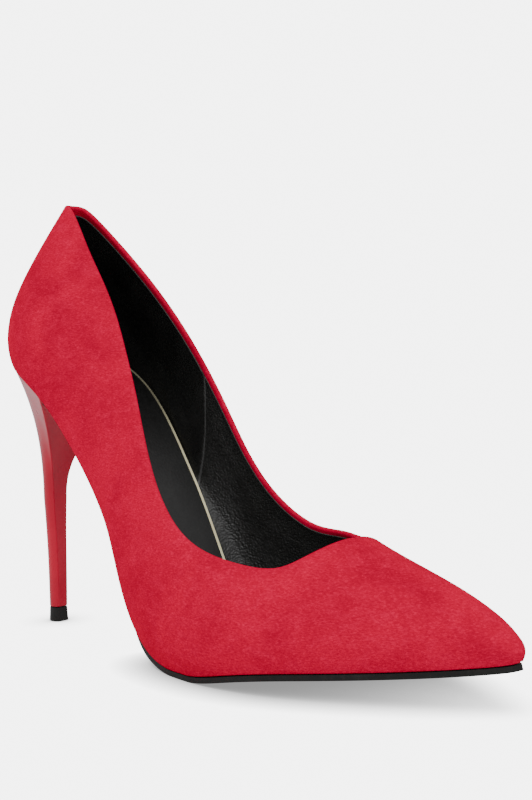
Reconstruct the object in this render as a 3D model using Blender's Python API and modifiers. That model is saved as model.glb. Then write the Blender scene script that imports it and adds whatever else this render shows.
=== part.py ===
"""High heel pump, right shoe: toe towards +X, inner side towards +Y, +Z up. Lengths are in millimetres
until mesh_object() turns them into metres."""
import math

import bmesh
import bpy
import numpy as np
from mathutils import Vector

MM = 0.001

# ---- driving dimensions ----
LENGTH = 222.0
GAP = 0.3
CENTRE_LINE = 1e-6
WALL_GAP = 0.45
MARGIN_GAP = 0.6

# Stations along the shoe, from the back of the heel seat to the toe, for the plan and the bottom.
PLAN_X = [0, 12, 35, 60, 80, 105, 130, 150, 175, 200, 214, LENGTH]
OUTER_HALF_WIDTH = [0, 21, 26, 22.8, 25.5, 33, 37, 36, 28, 16, 7.8, 0]
INNER_HALF_WIDTH = [0, 20.5, 25.8, 21, 17, 21, 31, 35, 30, 17.6, 8.2, 0]
BOTTOM_X = [0, 20, 40, 60, 80, 90, 100, 112, 120, 128, 150, 175, 200, LENGTH]
BOTTOM_Z = [106, 100, 86.5, 63, 33.6, 16.2, 7.4, 3.3, 2.3, 2.05, 5.4, 9.2, 12, 15]
TREAD_Z = 2.3
BALL_SKEW = 0.3

# Ridge line of the last and the fullness of its cross-sections.
RIDGE_STATIONS = [0, 30, 60, 90, 120, 150, 180, 205, LENGTH]
RIDGE_X = [30.7, 38.9, 63.2, 91.7, 120.5, 150.9, 180.7, 203.4, 212.7]
RIDGE_Z = [176.7, 168, 150.9, 117.9, 83, 53, 38.9, 29.4, 24.5]
WALL_OUT = [7.6, 7.8, 8.8, 12.3, 11.5, 10.1, 6.7, 4.7, 3.6]
WALL_UP = [23.3, 18.5, 23.4, 21.5, 19.5, 17.3, 14.9, 10.9, 6.7]
CROWN_OUT = [18, 16.6, 19.4, 27.9, 26.9, 24.9, 17.7, 12.5, 2.1]
CROWN_DOWN = [30.2, 27.2, 24.4, 9.8, 3.6, 3.1, 2.6, 3, 1.5]

# Topline height along the opening, which ends at the throat.
TOPLINE_X = [18, 24.5, 28, 33, 45, 70, 95, 115, 130, 141, 150, 156.5]
TOPLINE_Z = [165.9, 166.4, 165, 160.6, 147.2, 114.3, 69.6, 48.3, 42.2, 40.1, 39.3, 41]
THROAT_X = 162.0
INNER_RISE = 3.2
INNER_RISE_X = [119.0, 142.0, 149.0, 161.0]
OPEN_COLUMNS = 30
TOE_COLUMNS = 11
STATION_PACE = 300.0
WALL_ROWS = 8

# Wall layers, measured inwards from the outside of the upper.
UPPER_THICK = 1.0
STIFFENER_DEPTH = UPPER_THICK + WALL_GAP
STIFFENER_THICK = 0.8
LINING_DEPTH = STIFFENER_DEPTH + STIFFENER_THICK + WALL_GAP
LINING_THICK = 0.7
LINING_DROP = 1.5
TAPE_DROP = 0.8
TAPE_WIDTH = 6.0
TAPE_END_X = 138.0
COUNTER_END_X = 62.0
PUFF_START_X = 184.0
LINING_JOINT_X = 72.0
LINING_JOINT_GAP = 0.5
MARGIN_SHARE = 0.62
MARGIN_HEEL_X = 12.0
MARGIN_TOE_X = 18.0

# Bottom layers, measured upwards from the feather edge.
OUTSOLE_BOTTOM = -2.3
OUTSOLE_THICK = 1.8
OUTSOLE_INSET = 0.4
WAIST_INSET = 2.2
WAIST_X = [30.0, 38.0, 72.0, 96.0]
BOARD_RISE = UPPER_THICK + MARGIN_GAP
BOARD_THICK = 1.8
FASTENER_TOP = BOARD_RISE + BOARD_THICK - 0.5
FOAM_RISE = BOARD_RISE + BOARD_THICK + GAP
FOAM_THICK = 1.5
SOCK_RISE = FOAM_RISE + FOAM_THICK + GAP
SOCK_THICK = 0.8
WALL_START_RISE = FOAM_RISE + 1.2
BOARD_INSET = 1.9
SOCK_INSET = 3.1
SOCK_TOE_INSET = 2.2
SOCK_TAPER_X = 165.0
SOCK_END_X = 200.0
BOARD_JOINT_X = 112.0
BOARD_JOINT_GAP = 0.6
FILLER_REACH = -0.06
SHANK_START_X = 36.0
SHANK_END_X = 102.0
SHANK_WIDTH = 12.0

# Heel: a D-section stem under a cupped seat.
BREAST_X = 34.0
SEAT_INSET = 0.4
STEM_Z = [6, 25, 41, 50]
STEM_BACK = [6.1, 5.8, 5.2, 4.6]
STEM_FRONT = [12.7, 12.9, 12.7, 12.7]
STEM_HALF_WIDTH = [3.3, 3.5, 4.0, 4.4]
STEM_BREAST = [2.1, 2.3, 2.8, 3.3]
STEM_TOP_Z = 50.0
SEAT_FLARE = 2.2
BREAST_HOLLOW = 1.2
TIP_HEIGHT = 5.7
HEEL_BASE_Z = TIP_HEIGHT + GAP
TIP_FLARE = 0.25
STEM_AXIS_X = 9.4
TUBE_RADIUS = 1.7
TUBE_BORE = 1.2
TUBE_TOP_Z = 58.0
PIN_RADIUS = 0.9
PIN_BASE_Z = 2.4
PIN_TOP_Z = 24.0
PIN_CHAMFER = 0.6

# Fastenings. Their heads end just under the top of the board.
HEAD_THICK = 0.5
HEAD_CONE = 0.2
SCREW_X = 23.5
SCREW_RADIUS = 1.8
SCREW_HEAD_RADIUS = 3.0
SCREW_LENGTH = 22.0
NAIL_SPOTS = [(17.5, -5.5), (17.5, 5.5), (30.0, -8.0), (30.0, 8.0)]
NAIL_RADIUS = 0.9
NAIL_HEAD_RADIUS = 1.6
NAIL_LENGTH = 14.0
POINT_LENGTH = 1.5
RIVET_X = [42.0, 74.0]
RIVET_RADIUS = 1.6
RIVET_HEAD_RADIUS = 2.7
RIVET_LENGTH = 2.8


# ---- curves ----
def station_share(x):
    """Share along the shoe, 0 at the heel and 1 at the toe, packed closer at both round ends."""
    return math.acos(1 - 2 * min(max(x / LENGTH, 0), 1)) / math.pi


def station_x(share):
    return LENGTH * (1 - math.cos(math.pi * share)) / 2


def spline(knots, values, level_ends=False):
    """Cubic through the values, with free ends, or ends where it runs level."""
    knots = np.array(knots, float)
    values = np.array(values, float)
    count = len(knots)
    step = np.diff(knots)
    system = np.eye(count)
    right = np.zeros(count)
    for i in range(1, count - 1):
        system[i, i - 1:i + 2] = step[i - 1], 2 * (step[i - 1] + step[i]), step[i]
        rise_after = (values[i + 1] - values[i]) / step[i]
        rise_before = (values[i] - values[i - 1]) / step[i - 1]
        right[i] = 6 * (rise_after - rise_before)
    if level_ends:
        system[0, :2] = 2 * step[0], step[0]
        right[0] = 6 * (values[1] - values[0]) / step[0]
        system[-1, -2:] = step[-1], 2 * step[-1]
        right[-1] = -6 * (values[-1] - values[-2]) / step[-1]
    bend = np.linalg.solve(system, right)

    def curve(t):
        t = min(max(t, knots[0]), knots[-1])
        i = min(max(int(np.searchsorted(knots, t)) - 1, 0), count - 2)
        before = (knots[i + 1] - t) / step[i]
        after = (t - knots[i]) / step[i]
        sag = (before ** 3 - before) * bend[i] + (after ** 3 - after) * bend[i + 1]
        return float(before * values[i] + after * values[i + 1] + sag * step[i] ** 2 / 6)

    return curve


def profile(stations, values, level_ends=False):
    return spline([station_share(x) for x in stations], values, level_ends)


HALF_WIDTH = {-1: profile(PLAN_X, OUTER_HALF_WIDTH), 1: profile(PLAN_X, INNER_HALF_WIDTH)}
BOTTOM = profile(BOTTOM_X, BOTTOM_Z)
RIDGE = [profile(RIDGE_STATIONS, values, True) for values in (RIDGE_X, RIDGE_Z)]
WALL = [profile(RIDGE_STATIONS, values, True) for values in (WALL_OUT, WALL_UP)]
CROWN = [profile(RIDGE_STATIONS, values, True) for values in (CROWN_OUT, CROWN_DOWN)]


def smooth_step(t):
    t = min(max(t, 0), 1)
    return t * t * (3 - 2 * t)


def bottom_z(x, y):
    """Height of the feather surface. The ball line is skewed, further back on the outer side."""
    skew = BALL_SKEW * smooth_step((x - 25) / 60) * (1 - smooth_step((x - 150) / 60))
    return max(BOTTOM(station_share(x - skew * y)), TREAD_Z)


def bottom_slope(x, y):
    return (bottom_z(x + 1, y) - bottom_z(x - 1, y)) / 2


def bottom_point(x, y, rise):
    """Point at a rise square to the feather surface."""
    slope = bottom_slope(x, y)
    unit = 1 / math.hypot(1, slope)
    return Vector((x - rise * slope * unit, y, bottom_z(x, y) + rise * unit))


def plan_normal(share, side):
    step = 1e-4
    low = max(share - step, 0)
    high = min(share + step, 1)
    along = station_x(high) - station_x(low)
    across = side * (HALF_WIDTH[side](high) - HALF_WIDTH[side](low))
    size = math.hypot(along, across)
    return Vector((-side * across / size, side * along / size, 0))


def outline(share, side, inset):
    """Plan point of the feather edge, moved inwards."""
    edge = Vector((station_x(share), side * HALF_WIDTH[side](share), 0))
    return edge - plan_normal(share, side) * inset


def wall_point(share, side, height):
    """Outside of the upper: height 0 is the feather edge and 1 the ridge."""
    x = station_x(share)
    y = side * HALF_WIDTH[side](share)
    out = plan_normal(share, side)
    foot = Vector((x, y, bottom_z(x, y)))
    ridge = Vector((RIDGE[0](share), 0, RIDGE[1](share)))
    low = foot + out * WALL[0](share) + Vector((0, 0, WALL[1](share)))
    high = ridge + out * CROWN[0](share) - Vector((0, 0, CROWN[1](share)))
    rest = 1 - height
    return (foot * rest ** 3 + low * (3 * rest * rest * height)
            + high * (3 * rest * height * height) + ridge * height ** 3)


def wall_layer_point(share, side, height, depth):
    """Point of the wall at a depth under its outside, kept on the centre line where the sides meet."""
    step = 0.002
    point = wall_point(share, side, height)
    along = wall_point(min(share + step, 1), side, height) - wall_point(max(share - step, 0), side, height)
    up = wall_point(share, side, min(height + step, 1)) - wall_point(share, side, max(height - step, 0))
    normal = along.cross(up) * -side
    if share < CENTRE_LINE or share > 1 - CENTRE_LINE or height > 1 - CENTRE_LINE:
        normal.y = 0
        point.y = 0
    return point - normal.normalized() * depth


# ---- opening ----
THROAT_SHARE = next(s / 2000 for s in range(2000) if RIDGE[0](s / 2000) > THROAT_X)
OPENING = spline(TOPLINE_X + [THROAT_X], TOPLINE_Z + [RIDGE[1](THROAT_SHARE)])


def opening_z(x, side):
    """Height of the topline, which stands a little higher on the inner side before the throat."""
    start, full, fade, end = INNER_RISE_X
    rise = smooth_step((x - start) / (full - start)) * (1 - smooth_step((x - fade) / (end - fade)))
    return OPENING(x) + (INNER_RISE * rise if side > 0 else 0)


def opening_height(share, side):
    """Height share at which a rib meets the upper's topline, or 1 from the throat on."""
    if share >= THROAT_SHARE:
        return 1.0
    steps = 60
    low, high = 0.0, 1.0
    for i in range(steps):
        point = wall_point(share, side, (i + 1) / steps)
        if point.z >= opening_z(point.x, side):
            low, high = i / steps, (i + 1) / steps
            break
    for _ in range(24):
        middle = (low + high) / 2
        point = wall_point(share, side, middle)
        if point.z >= opening_z(point.x, side):
            high = middle
        else:
            low = middle
    return high


def rib_length(share, side):
    steps = 12
    points = [wall_point(share, side, i / steps) for i in range(steps + 1)]
    return sum((points[i + 1] - points[i]).length for i in range(steps))


def dropped_height(share, side, drop):
    """Height share of an edge that runs a drop below the topline and round the throat."""
    top = opening_height(share, side)
    ahead = max(share - THROAT_SHARE, 0) * STATION_PACE
    if ahead >= drop:
        return top
    return top - math.sqrt(drop * drop - ahead * ahead) / rib_length(share, side)


def height_at_rise(share, side, rise):
    """Height share at which a rib is a rise above the feather surface."""
    x = station_x(share)
    y = side * HALF_WIDTH[side](share)
    target = bottom_z(x, y) + rise * math.hypot(1, bottom_slope(x, y))
    low, high = 0.0, 0.5
    for _ in range(24):
        middle = (low + high) / 2
        if wall_point(share, side, middle).z >= target:
            high = middle
        else:
            low = middle
    return high


def shared_wall_shares():
    """Columns that all wall layers have in common, closer together where the opening turns across."""
    shares = [THROAT_SHARE * (1 - (1 - i / OPEN_COLUMNS) ** 1.5) for i in range(OPEN_COLUMNS + 1)]
    ahead = 1 - THROAT_SHARE
    return shares + [THROAT_SHARE + ahead * (i / TOE_COLUMNS) ** 1.2 for i in range(1, TOE_COLUMNS + 1)]


def columns(start, end):
    """Shared columns between two shares."""
    marks = [start, end]
    kept = [s for s in shared_wall_shares() if all(abs(s - mark) > 0.003 for mark in marks)]
    return sorted(marks + [s for s in kept if start < s < end])


# ---- building ----
def fresh_scene():
    for item in list(bpy.data.objects):
        bpy.data.objects.remove(item)


def collection(name):
    made = bpy.data.collections.new(name)
    bpy.context.scene.collection.children.link(made)
    return made


def material(name, colour, roughness, metallic=0.0):
    made = bpy.data.materials.new(name)
    made.use_nodes = True
    shader = made.node_tree.nodes["Principled BSDF"]
    shader.inputs["Base Color"].default_value = (*colour, 1)
    shader.inputs["Roughness"].default_value = roughness
    shader.inputs["Metallic"].default_value = metallic
    return made


def mesh_object(name, points, faces, look, home):
    """Object in metres, with equal points joined."""
    mesh = bpy.data.meshes.new(name)
    mesh.from_pydata([Vector(p) * MM for p in points], [], faces)
    body = bmesh.new()
    body.from_mesh(mesh)
    bmesh.ops.remove_doubles(body, verts=body.verts, dist=1e-6)
    body.to_mesh(mesh)
    body.free()
    for face in mesh.polygons:
        face.use_smooth = True
    made = bpy.data.objects.new(name, mesh)
    made.data.materials.append(look)
    home.objects.link(made)
    return made


def solidify(item, thickness, even):
    """Gives a surface its thickness on the side away from its faces' fronts."""
    shell = item.modifiers.new("thickness", "SOLIDIFY")
    shell.thickness = thickness * MM
    shell.offset = -1
    shell.use_even_offset = even
    shell.use_rim = True


def wall_layer(name, depth, thickness, shares, low, high, rows, look, home, margin=False):
    """Layer of the upper's wall, from low(share, side) to high(share, side) on both sides."""
    points = []
    faces = []
    for side in (-1, 1):
        strips = []
        for share in shares:
            bottom = low(share, side)
            top = high(share, side)
            strip = margin_strip(share, side) if margin else []
            for row in range(rows + 1):
                height = bottom + (top - bottom) * row / rows
                strip.append(wall_layer_point(share, side, height, depth))
            strips.append(strip)
        base = len(points)
        size = len(strips[0])
        points += [point for strip in strips for point in strip]
        for i in range(len(strips) - 1):
            for j in range(size - 1):
                corner = base + i * size + j
                quad = (corner, corner + size, corner + size + 1, corner + 1)
                faces.append(quad if side < 0 else quad[::-1])
    item = mesh_object(name, points, faces, look, home)
    solidify(item, thickness, False)
    return item


def margin_point(share, side, reach):
    """Point of the lasting margin under the board: reach 0 is its inner edge and 1 the feather edge."""
    edge = outline(share, side, 0)
    inner_x = MARGIN_HEEL_X + (LENGTH - MARGIN_HEEL_X - MARGIN_TOE_X) * station_x(share) / LENGTH
    inner_y = edge.y * MARGIN_SHARE
    x = inner_x + (edge.x - inner_x) * reach
    y = inner_y + (edge.y - inner_y) * reach
    return Vector((x, y, bottom_z(x, y)))


def margin_strip(share, side):
    return [margin_point(share, side, reach) for reach in (0, 0.35, 0.7, 0.92)]


def sheet_layer(name, rise, thickness, shares, edge, across, look, home):
    """Sheet that follows the bottom; edge(share, side) gives its plan outline."""
    points = []
    faces = []
    for share in shares:
        left = edge(share, -1)
        right = edge(share, 1)
        for j in range(across + 1):
            spot = left.lerp(right, j / across)
            points.append(bottom_point(spot.x, spot.y, rise + thickness))
    size = across + 1
    for i in range(len(shares) - 1):
        for j in range(across):
            corner = i * size + j
            faces.append((corner, corner + size, corner + size + 1, corner + 1))
    item = mesh_object(name, points, faces, look, home)
    solidify(item, thickness, True)
    return item


def turned(name, outline_points, sides, look, home):
    """Round body from (radius, height) points that start and end on the axis, by a Screw."""
    mesh = bpy.data.meshes.new(name)
    points = [(radius * MM, 0, height * MM) for radius, height in reversed(outline_points)]
    edges = [(i, i + 1) for i in range(len(points) - 1)]
    mesh.from_pydata(points, edges, [])
    item = bpy.data.objects.new(name, mesh)
    if look:
        item.data.materials.append(look)
    home.objects.link(item)
    spin = item.modifiers.new("turn", "SCREW")
    spin.steps = sides
    spin.render_steps = sides
    spin.use_merge_vertices = True
    spin.merge_threshold = 1e-5
    return item


def place(item, x, y, rise):
    """Stands an item on the bottom's normal at a spot."""
    slope = bottom_slope(x, y)
    item.location = bottom_point(x, y, rise) * MM
    item.rotation_euler = (0, -math.atan(slope), 0)


def cut(item, cutter):
    step = item.modifiers.new("cut_" + cutter.name, "BOOLEAN")
    step.operation = "DIFFERENCE"
    step.solver = "EXACT"
    step.object = cutter


def cutter(name, outline_points, home):
    item = turned(name, outline_points, 16, None, home)
    item.hide_render = True
    item.display_type = "WIRE"
    return item


def bore_cutter(name, radius, bottom, top, home):
    return cutter(name, [(0, bottom), (radius, bottom), (radius, top), (0, top)], home)


# ---- heel ----
def stem_value(stations, z):
    return float(np.interp(z, STEM_Z, stations))


def stem_section(z, turn, grow=0.0):
    """Point of the stem's D section: turn -1 and 1 are the breast's corners and 0 is the back."""
    half = stem_value(STEM_HALF_WIDTH, z) + grow
    breast = stem_value(STEM_BREAST, z) + grow
    back = stem_value(STEM_BACK, z) - grow
    front = stem_value(STEM_FRONT, z) + grow
    start = math.asin(breast / half)
    radius = (front - back) / (1 + math.cos(start))
    angle = start + (math.pi - start) * (1 - abs(turn))
    return Vector((back + radius + radius * math.cos(angle), math.copysign(half * math.sin(angle), turn), z))


def seat_point(turn):
    side = -1 if turn < 0 else 1
    spot = outline(station_share(BREAST_X) * abs(turn), side, SEAT_INSET)
    return bottom_point(spot.x, spot.y, -GAP)


def heel_ring(level, around, breast_steps):
    """Closed ring of the heel at a level: up to 0 is the stem's base and 1 is the seat."""
    ring = []
    for i in range(around + 1):
        turn = -1 + 2 * i / around
        ring.append(heel_side(level, turn if turn else CENTRE_LINE))
    first, last = ring[-1], ring[0]
    for i in range(1, breast_steps):
        share = i / breast_steps
        spot = first.lerp(last, share)
        spot.x -= BREAST_HOLLOW * max(level, 0) * math.sin(math.pi * share)
        if level == 1:
            spot = bottom_point(spot.x, spot.y, -GAP)
        ring.append(spot)
    return ring


def heel_side(level, turn):
    stem_z = STEM_TOP_Z if level >= 0 else STEM_TOP_Z + (STEM_TOP_Z - HEEL_BASE_Z) * level
    stem = stem_section(stem_z, turn)
    if level <= 0:
        return stem
    seat = seat_point(turn)
    flare = level ** SEAT_FLARE
    return Vector((stem.x + (seat.x - stem.x) * flare, stem.y + (seat.y - stem.y) * flare,
                   stem.z + (seat.z - stem.z) * level))


def loft_faces(rings, size):
    """Quads between closed rings that are stacked upwards, and the bottom cap."""
    faces = [tuple(range(size))]
    for i in range(rings - 1):
        for j in range(size):
            ahead = (j + 1) % size
            faces.append((i * size + j, (i + 1) * size + j, (i + 1) * size + ahead, i * size + ahead))
    return faces


def build_heel(look, home):
    around = 24
    breast_steps = 6
    levels = [-1, -0.66, -0.33, 0, 0.15, 0.3, 0.44, 0.57, 0.69, 0.8, 0.9, 1]
    rings = [heel_ring(level, around, breast_steps) for level in levels]
    size = len(rings[0])
    points = [point for ring in rings for point in ring]
    faces = loft_faces(len(rings), size)
    previous = list(range(len(points) - size, len(points)))
    rim_points = rings[-1]
    centre_x = BREAST_X / 2
    for shrink in (2 / 3, 1 / 3):
        ring = list(range(len(points), len(points) + size))
        for rim in rim_points:
            x = centre_x + (rim.x - centre_x) * shrink
            points.append(bottom_point(x, rim.y * shrink, -GAP))
        for j in range(size):
            ahead = (j + 1) % size
            faces.append((ring[j], ring[ahead], previous[ahead], previous[j]))
        previous = ring
    centre = len(points)
    points.append(bottom_point(centre_x, 0, -GAP))
    for j in range(size):
        faces.append((centre, previous[(j + 1) % size], previous[j]))
    return mesh_object("heel", points, faces, look, home)


def build_tip(look, home):
    around = 24
    breast_steps = 4
    sections = [(0, TIP_FLARE * 0.4), (0.4, TIP_FLARE), (1.6, TIP_FLARE * 0.6), (TIP_HEIGHT - 0.3, 0),
                (TIP_HEIGHT, -0.25)]
    rings = []
    for z, grow in sections:
        ring = []
        for i in range(around + 1):
            turn = -1 + 2 * i / around
            spot = stem_section(HEEL_BASE_Z, turn if turn else CENTRE_LINE, grow)
            spot.z = z
            ring.append(spot)
        first, last = ring[-1], ring[0]
        ring += [first.lerp(last, i / breast_steps) for i in range(1, breast_steps)]
        rings.append(ring)
    size = len(rings[0])
    points = [point for ring in rings for point in ring]
    faces = loft_faces(len(rings), size)
    faces.append(tuple(range(len(points) - size, len(points)))[::-1])
    return mesh_object("heel_tip", points, faces, look, home)


# ---- shoe ----
def build_upper(look, home):
    wall_layer("upper", 0, UPPER_THICK, columns(0, 1), lambda share, side: 0.0, opening_height, WALL_ROWS,
               look, home, margin=True)


def build_wall_parts(looks, home):
    """Counter, tape, interlining, toe puff and the two linings."""
    under_tape = TAPE_DROP + TAPE_WIDTH + 0.8

    def floor(share, side):
        return height_at_rise(share, side, WALL_START_RISE)

    def below(drop):
        return lambda share, side: dropped_height(share, side, drop)

    def counter_top(share, side):
        fall = 0.72 - 0.3 * smooth_step(share / station_share(COUNTER_END_X))
        return floor(share, side) + (below(under_tape)(share, side) - floor(share, side)) * fall

    def puff_top(share, side):
        """The puff is slit along its crest near the toe, where its two sides meet at a point."""
        return 1 - 0.2 * smooth_step((station_x(share) - PUFF_START_X - 12) / 16)

    counter_end = station_share(COUNTER_END_X)
    wall_layer("heel_counter", STIFFENER_DEPTH, STIFFENER_THICK, columns(0, counter_end),
               floor, counter_top, 6, looks["board"], home)
    tape_end = station_share(TAPE_END_X)
    wall_layer("topline_tape", STIFFENER_DEPTH, STIFFENER_THICK * 0.6,
               columns(0, tape_end), below(TAPE_DROP + TAPE_WIDTH), below(TAPE_DROP), 3,
               looks["tape"], home)
    puff_start = station_share(PUFF_START_X)
    wall_layer("toe_puff", STIFFENER_DEPTH, STIFFENER_THICK, columns(puff_start, 1),
               floor, puff_top, WALL_ROWS, looks["puff"], home)
    backer_start = station_share(COUNTER_END_X + 1)
    backer_end = station_share(PUFF_START_X - 1)
    wall_layer("interlining", STIFFENER_DEPTH, STIFFENER_THICK * 0.6,
               columns(backer_start, backer_end), floor, below(under_tape), WALL_ROWS,
               looks["tape"], home)
    joint = station_share(LINING_JOINT_X)
    joint_end = station_share(LINING_JOINT_X + LINING_JOINT_GAP)
    wall_layer("quarter_lining", LINING_DEPTH, LINING_THICK, columns(0, joint),
               floor, below(LINING_DROP), WALL_ROWS, looks["smooth_lining"], home)
    wall_layer("vamp_lining", LINING_DEPTH, LINING_THICK, columns(joint_end, 1),
               floor, below(LINING_DROP), WALL_ROWS, looks["pebbled_lining"], home)


def sole_waist(x):
    """1 in the waist, where the sole is cut back under the upper, and 0 at the ball."""
    start, full, fade, end = WAIST_X
    return smooth_step((x - start) / (full - start)) * (1 - smooth_step((x - fade) / (end - fade)))


def build_bottom(looks, home):
    """Boards, shank, filler, foam, sock and outsole. Returns the board and the shank under the heel."""
    joint = station_share(BOARD_JOINT_X)
    joint_end = station_share(BOARD_JOINT_X + BOARD_JOINT_GAP)
    sock_columns = columns(0, station_share(SOCK_END_X))
    shank_end = station_share(SHANK_END_X)

    def board_edge(share, side):
        return outline(share, side, BOARD_INSET)

    def sock_edge(share, side):
        toe = smooth_step((station_x(share) - SOCK_TAPER_X) / (SOCK_END_X - SOCK_TAPER_X))
        return outline(share, side, SOCK_INSET + SOCK_TOE_INSET * toe)

    def outsole_edge(share, side):
        return outline(share, side, OUTSOLE_INSET + WAIST_INSET * sole_waist(station_x(share)))

    def shank_edge(share, side):
        return Vector((station_x(share), side * SHANK_WIDTH / 2, 0))

    def filler_edge(share, side):
        return margin_point(share, side, FILLER_REACH)

    board = sheet_layer("shank_board", BOARD_RISE, BOARD_THICK, columns(0, joint), board_edge,
                        4, looks["fibreboard"], home)
    sheet_layer("insole_board", BOARD_RISE, BOARD_THICK, columns(joint_end, 1), board_edge,
                4, looks["board"], home)
    shank = sheet_layer("steel_shank", 0, UPPER_THICK, columns(station_share(SHANK_START_X), shank_end),
                        shank_edge, 2, looks["steel"], home)
    filler_start = station_share(SHANK_END_X + 3)
    sheet_layer("bottom_filler", 0, UPPER_THICK, columns(filler_start, 1), filler_edge,
                4, looks["filler"], home)
    sheet_layer("sock_foam", FOAM_RISE, FOAM_THICK, sock_columns, sock_edge, 4, looks["foam"], home)
    sheet_layer("sock", SOCK_RISE, SOCK_THICK, sock_columns, sock_edge, 4, looks["sock"], home)
    breast = station_share(BREAST_X + BREAST_HOLLOW)
    sheet_layer("outsole", OUTSOLE_BOTTOM, OUTSOLE_THICK, columns(breast, 1), outsole_edge,
                6, looks["sole"], home)
    return board, shank


def fasten(name, x, y, radius, head, length, point, parts, look, home, cutters):
    """Headed pin that hangs from the board's top into the parts, each cut to clear it."""
    top = FASTENER_TOP
    base = top - length
    neck = top - HEAD_THICK - HEAD_CONE
    end = [(0, base), (radius * 0.5, base), (radius, base + point)] if point else [(0, base), (radius, base)]
    pin = turned(name, end + [(radius, neck), (head, neck + HEAD_CONE), (head, top), (0, top)], 16, look, home)
    wide = radius + GAP
    head_wide = head + GAP
    hole = cutter(name + "_hole", [(0, base - GAP), (wide, base - GAP), (wide, neck - GAP),
                                   (head_wide, neck + HEAD_CONE - GAP), (head_wide, top + 1), (0, top + 1)],
                  cutters)
    place(pin, x, y, 0)
    place(hole, x, y, 0)
    for part in parts:
        cut(part, hole)


def build_fastenings(heel, board, shank, look, home, cutters):
    """Rivets through the board and the shank, and the screw and nails down into the heel."""
    for name, x in zip(("shank_rivet_rear", "shank_rivet_front"), RIVET_X):
        fasten(name, x, 0, RIVET_RADIUS, RIVET_HEAD_RADIUS, RIVET_LENGTH, 0, (shank, board),
               look, home, cutters)
    fasten("heel_screw", SCREW_X, 0, SCREW_RADIUS, SCREW_HEAD_RADIUS, SCREW_LENGTH, POINT_LENGTH,
           (board, heel), look, home, cutters)
    for i, (x, y) in enumerate(NAIL_SPOTS):
        fasten("heel_nail_" + str(i + 1), x, y, NAIL_RADIUS, NAIL_HEAD_RADIUS, NAIL_LENGTH, POINT_LENGTH,
               (board, heel), look, home, cutters)


def build_heel_core(heel, tip, look, home, cutters):
    """Steel tube in the stem and the top piece's pin in the tube."""
    tube_base = HEEL_BASE_Z + GAP
    ring = [(TUBE_BORE, tube_base), (TUBE_RADIUS, tube_base), (TUBE_RADIUS, TUBE_TOP_Z),
            (TUBE_BORE, TUBE_TOP_Z), (TUBE_BORE, tube_base)]
    stem_tube = turned("heel_tube", ring, 16, look, home)
    shoulder = PIN_TOP_Z - PIN_CHAMFER
    pin = turned("heel_tip_pin", [(0, PIN_BASE_Z), (PIN_RADIUS, PIN_BASE_Z), (PIN_RADIUS, shoulder),
                                  (PIN_RADIUS * 0.6, PIN_TOP_Z), (0, PIN_TOP_Z)], 16, look, home)
    tube_hole = bore_cutter("tube_hole", TUBE_RADIUS + GAP, HEEL_BASE_Z - 1, TUBE_TOP_Z + GAP, cutters)
    pin_hole = bore_cutter("pin_hole", PIN_RADIUS + GAP, PIN_BASE_Z - GAP, TIP_HEIGHT + 1, cutters)
    for item in (stem_tube, pin, tube_hole, pin_hole):
        item.location = (STEM_AXIS_X * MM, 0, 0)
    cut(heel, tube_hole)
    cut(tip, pin_hole)


def make_looks():
    return {
        "suede": material("red_suede", (0.65, 0.03, 0.06), 0.9),
        "pebbled_lining": material("pebbled_black_lining", (0.02, 0.02, 0.022), 0.6),
        "smooth_lining": material("smooth_black_lining", (0.02, 0.02, 0.022), 0.4),
        "board": material("insole_board", (0.55, 0.42, 0.28), 0.9),
        "fibreboard": material("fibreboard", (0.35, 0.22, 0.12), 0.85),
        "tape": material("woven_tape", (0.8, 0.78, 0.72), 0.9),
        "puff": material("toe_puff_film", (0.75, 0.75, 0.7), 0.6),
        "steel": material("shank_steel", (0.5, 0.5, 0.52), 0.35, 1.0),
        "filler": material("bottom_filler", (0.3, 0.2, 0.12), 0.95),
        "foam": material("cream_foam", (0.85, 0.78, 0.6), 0.9),
        "sock": material("black_sock", (0.02, 0.02, 0.022), 0.45),
        "sole": material("black_outsole", (0.02, 0.02, 0.02), 0.55),
        "lacquer": material("red_lacquer", (0.6, 0.02, 0.05), 0.2),
        "tip": material("black_top_piece", (0.02, 0.02, 0.02), 0.5),
    }


def centre_on_floor(home):
    """Moves the shoe so that the middle of its box is over the origin."""
    bpy.context.view_layer.update()
    graph = bpy.context.evaluated_depsgraph_get()
    low = Vector((1e9, 1e9, 1e9))
    high = -low
    for item in home.objects:
        made = item.evaluated_get(graph)
        mesh = made.to_mesh()
        for vertex in mesh.vertices:
            point = made.matrix_world @ vertex.co
            low = Vector(map(min, low, point))
            high = Vector(map(max, high, point))
        made.to_mesh_clear()
    shift = Vector((-(low.x + high.x) / 2, -(low.y + high.y) / 2, -low.z))
    for item in bpy.data.objects:
        item.location += shift


def main():
    fresh_scene()
    home = collection("high_heel_pump")
    cutters = collection("cutters")
    looks = make_looks()
    build_upper(looks["suede"], home)
    build_wall_parts(looks, home)
    board, shank = build_bottom(looks, home)
    heel = build_heel(looks["lacquer"], home)
    tip = build_tip(looks["tip"], home)
    build_fastenings(heel, board, shank, looks["steel"], home, cutters)
    build_heel_core(heel, tip, looks["steel"], home, cutters)
    centre_on_floor(home)


main()
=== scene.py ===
"""Looks of a high heel pump, right shoe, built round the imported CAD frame.

Shapes are worked out in millimetres in the shoe's own axes: x from the back of the heel seat towards the toe,
y towards the inner side, z up from the floor. mesh_object() moves them into the frame, in metres."""
import math

import bmesh
import bpy
import numpy as np
from mathutils import Matrix, Vector


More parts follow.
